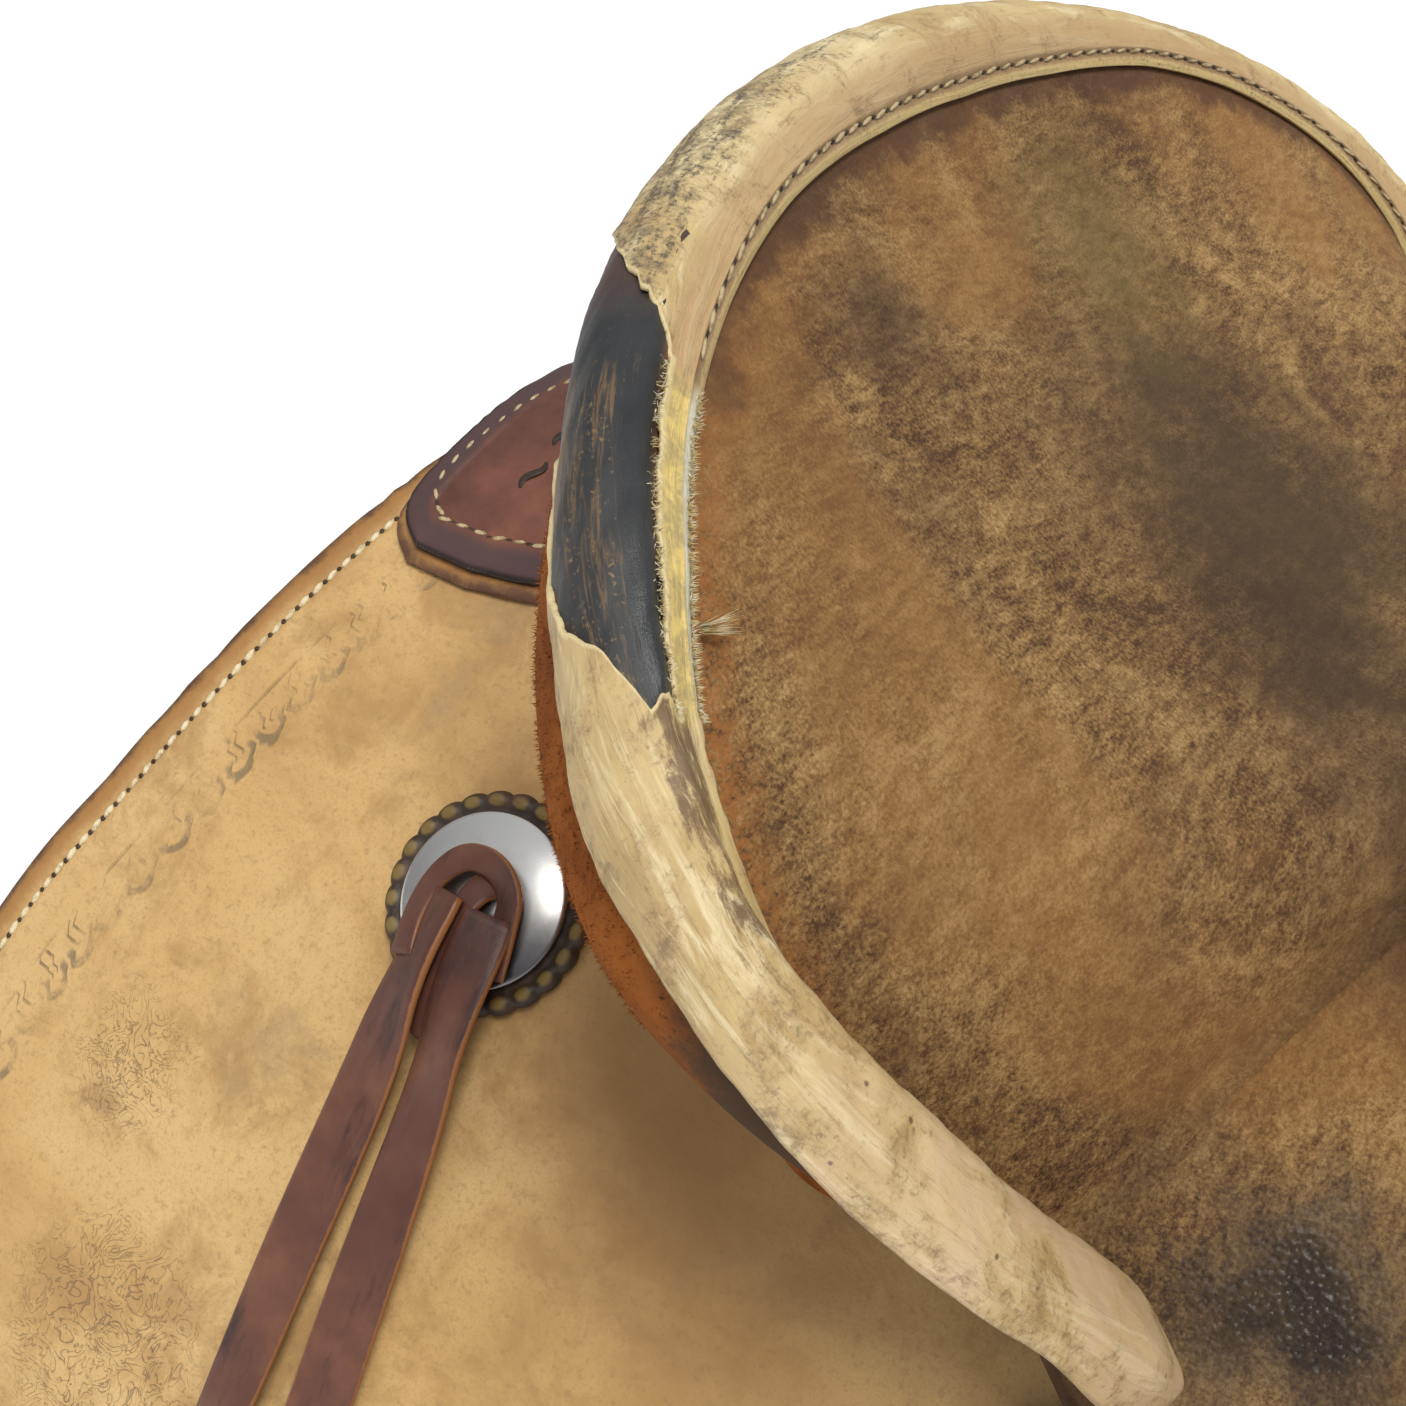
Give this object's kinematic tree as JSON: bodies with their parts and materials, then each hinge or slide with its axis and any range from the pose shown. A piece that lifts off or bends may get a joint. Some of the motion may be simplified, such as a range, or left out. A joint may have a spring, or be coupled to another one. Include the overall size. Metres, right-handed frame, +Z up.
{
  "type": "western saddle",
  "caption": "Old western stock saddle with a rawhide-bound cantle, tooled skirts, horn, fenders, stirrups, rigging rings and saddle strings.",
  "frame": {"origin": "on the horse's spine line, midway along the seat, 25 mm below the skirts' outer face", "axes": "+X towards the horn and the horse's head, +Y to the horse's left, +Z up"},
  "size_m": [0.678, 0.604, 0.773],
  "materials": {
    "skirt_leather": "worn satin, mottled buckskin tan",
    "seat_leather": "rough-out, darkened and polished by use",
    "rawhide": "worn satin rawhide",
    "black_leather": "glossy, worn",
    "dark_leather": "oiled satin",
    "string_leather": "oiled satin with rough edges",
    "fleece": "woolly",
    "tree_wood": "rawhide-covered, matte",
    "stirrup_wood": "oiled, worn",
    "nickel": "polished nickel",
    "steel": "aged steel"
  },
  "bodies": {
    "saddle": {"skirt_right": "skirt_leather", "skirt_left": "skirt_leather", "swell_cover": "skirt_leather", "rigging_leather_front_right": "skirt_leather", "rigging_leather_front_left": "skirt_leather", "rigging_leather_rear_right": "skirt_leather", "rigging_leather_rear_left": "skirt_leather", "seat_leather": "seat_leather", "cantle_back": "seat_leather", "cantle_binding": "rawhide", "cantle_filler": "black_leather", "joining_plate": "dark_leather", "horn_wrap": "dark_leather", "horn_cap": "dark_leather", "rosette_rear_right": "dark_leather", "rosette_rear_left": "dark_leather", "rosette_cantle_right": "dark_leather", "rosette_cantle_left": "dark_leather", "rosette_front_right": "dark_leather", "rosette_front_left": "dark_leather", "string_rear_right_a": "string_leather", "string_rear_right_b": "string_leather", "string_rear_left_a": "string_leather", "string_rear_left_b": "string_leather", "string_cantle_right_a": "string_leather", "string_cantle_right_b": "string_leather", "string_cantle_left_a": "string_leather", "string_cantle_left_b": "string_leather", "sheepskin_right": "fleece", "sheepskin_left": "fleece", "bar_right": "tree_wood", "bar_left": "tree_wood", "fork": "tree_wood", "cantle_board": "tree_wood", "concho_rear_right": "nickel", "concho_rear_left": "nickel", "concho_cantle_right": "nickel", "concho_cantle_left": "nickel", "concho_front_right": "nickel", "concho_front_left": "nickel", "ground_seat": "steel", "horn_core": "steel"},
    "fender_right": {"fender_right": "skirt_leather", "stirrup_leather_right": "skirt_leather", "hobble_strap_right": "dark_leather"},
    "stirrup_right": {"stirrup_right": "stirrup_wood", "stirrup_bolt_right": "steel"},
    "rigging_ring_front_right": {"rigging_ring_front_right": "steel"},
    "rigging_ring_rear_right": {"rigging_ring_rear_right": "steel"},
    "fender_left": {"fender_left": "skirt_leather", "stirrup_leather_left": "skirt_leather", "hobble_strap_left": "dark_leather"},
    "stirrup_left": {"stirrup_left": "stirrup_wood", "stirrup_bolt_left": "steel"},
    "rigging_ring_front_left": {"rigging_ring_front_left": "steel"},
    "rigging_ring_rear_left": {"rigging_ring_rear_left": "steel"}
  },
  "joints": [
    {"name": "fender_swing_right", "type": "hinge", "parent": "saddle", "child": "fender_right", "pos_m": [0.085, -0.178, -0.108], "axis": [0, -1, 0], "range_deg": [-20, 20]},
    {"name": "stirrup_pivot_right", "type": "hinge", "parent": "fender_right", "child": "stirrup_right", "pos_m": [0.085, -0.271, -0.462], "axis": [-1, 0, 0], "range_deg": [-30, 30]},
    {"name": "rigging_ring_front_right_lift", "type": "hinge", "parent": "saddle", "child": "rigging_ring_front_right", "pos_m": [0.22168, -0.19175, -0.13711], "axis": [-1, 0, 0], "range_deg": [0, 120]},
    {"name": "rigging_ring_rear_right_lift", "type": "hinge", "parent": "saddle", "child": "rigging_ring_rear_right", "pos_m": [-0.14978, -0.19175, -0.14104], "axis": [-1, 0, 0], "range_deg": [0, 120]},
    {"name": "fender_swing_left", "type": "hinge", "parent": "saddle", "child": "fender_left", "pos_m": [0.085, 0.178, -0.108], "axis": [0, -1, 0], "range_deg": [-20, 20]},
    {"name": "stirrup_pivot_left", "type": "hinge", "parent": "fender_left", "child": "stirrup_left", "pos_m": [0.085, 0.271, -0.462], "axis": [1, 0, 0], "range_deg": [-30, 30]},
    {"name": "rigging_ring_front_left_lift", "type": "hinge", "parent": "saddle", "child": "rigging_ring_front_left", "pos_m": [0.22168, 0.19175, -0.13711], "axis": [1, 0, 0], "range_deg": [0, 120]},
    {"name": "rigging_ring_rear_left_lift", "type": "hinge", "parent": "saddle", "child": "rigging_ring_rear_left", "pos_m": [-0.14978, 0.19175, -0.14104], "axis": [1, 0, 0], "range_deg": [0, 120]}
  ]
}
